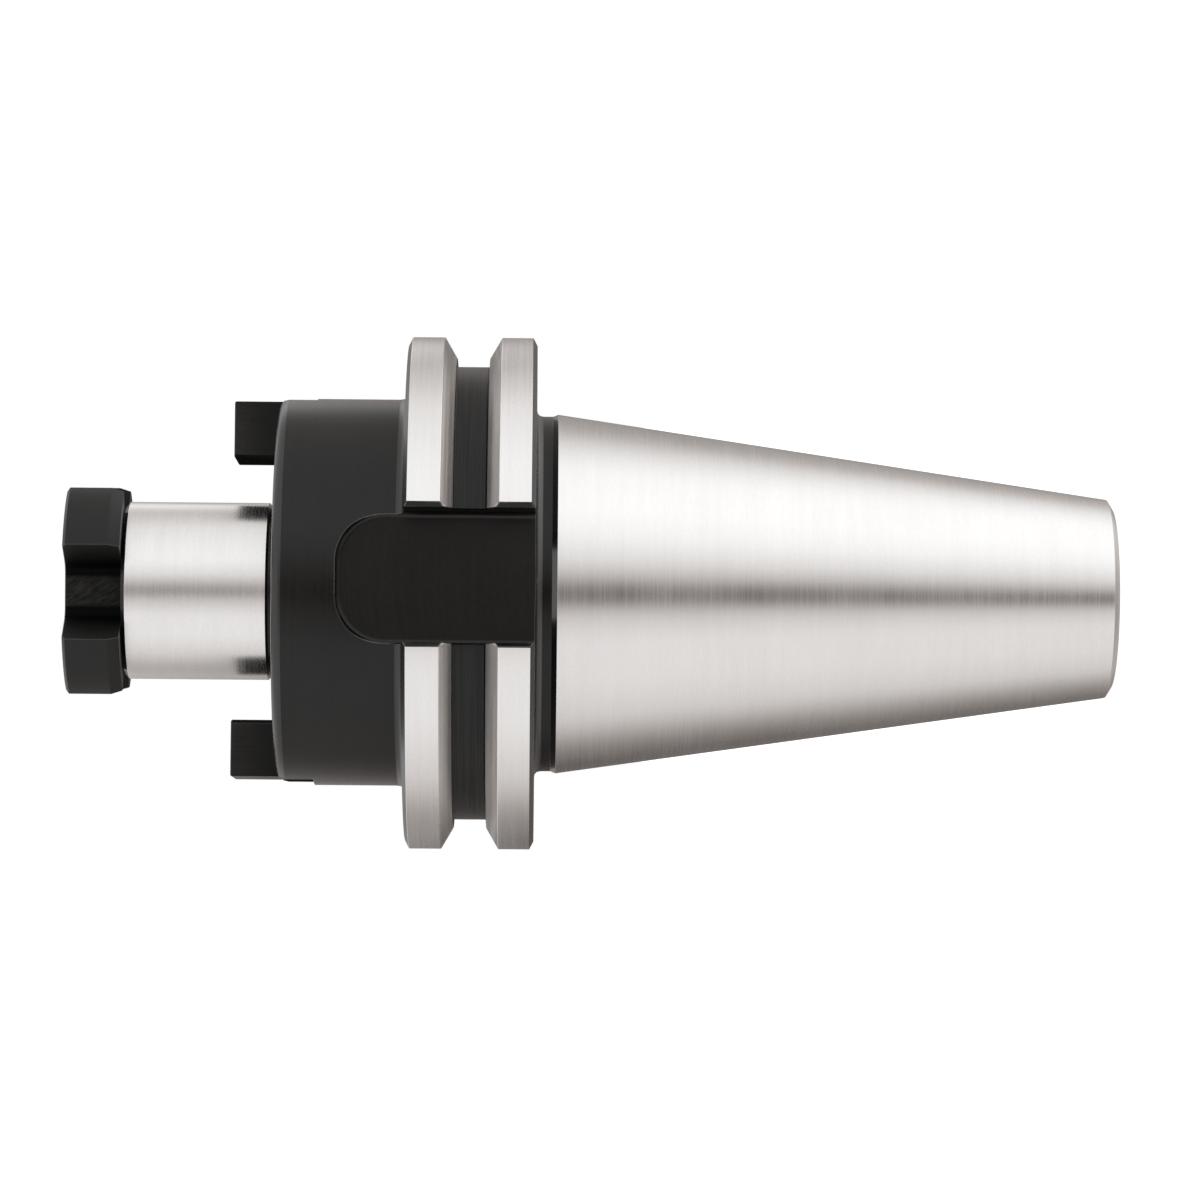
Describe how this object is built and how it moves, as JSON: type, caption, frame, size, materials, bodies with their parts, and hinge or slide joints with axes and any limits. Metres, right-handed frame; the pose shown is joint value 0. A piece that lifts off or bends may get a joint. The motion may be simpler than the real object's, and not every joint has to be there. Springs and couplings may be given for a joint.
{
  "type": "shell mill holder",
  "caption": "Steep-taper tool holder with a V-grooved gripper flange, drive keys and a centring spigot, whose notched retaining screw clamps a shell mill.",
  "frame": {"origin": "on the spindle axis in the taper's gauge plane, where the taper measures 44.45 mm", "axes": "+Z along the spindle axis towards the cutter; the deep drive slot faces -Y, the shallow one +Y, and the drive keys lie on the X axis"},
  "size_m": [0.0636, 0.0612, 0.1294],
  "materials": {
    "holder_steel": "hardened steel, ground bright on the taper, rims, groove flanks and spigot, black oxide elsewhere",
    "key_steel": "black oxide, satin",
    "key_screw_steel": "black oxide, satin",
    "retaining_screw_steel": "black oxide, satin"
  },
  "bodies": {
    "holder": {"holder_body": "holder_steel", "drive_key_1": "key_steel", "drive_key_2": "key_steel", "key_screw_1": "key_screw_steel", "key_screw_2": "key_screw_steel"},
    "retaining_screw": {"retaining_screw": "retaining_screw_steel"}
  },
  "joints": [
    {"name": "retaining_screw_out", "type": "slide", "parent": "holder", "child": "retaining_screw", "axis": [0, 0, 1], "range_m": [0, 0.06]}
  ]
}
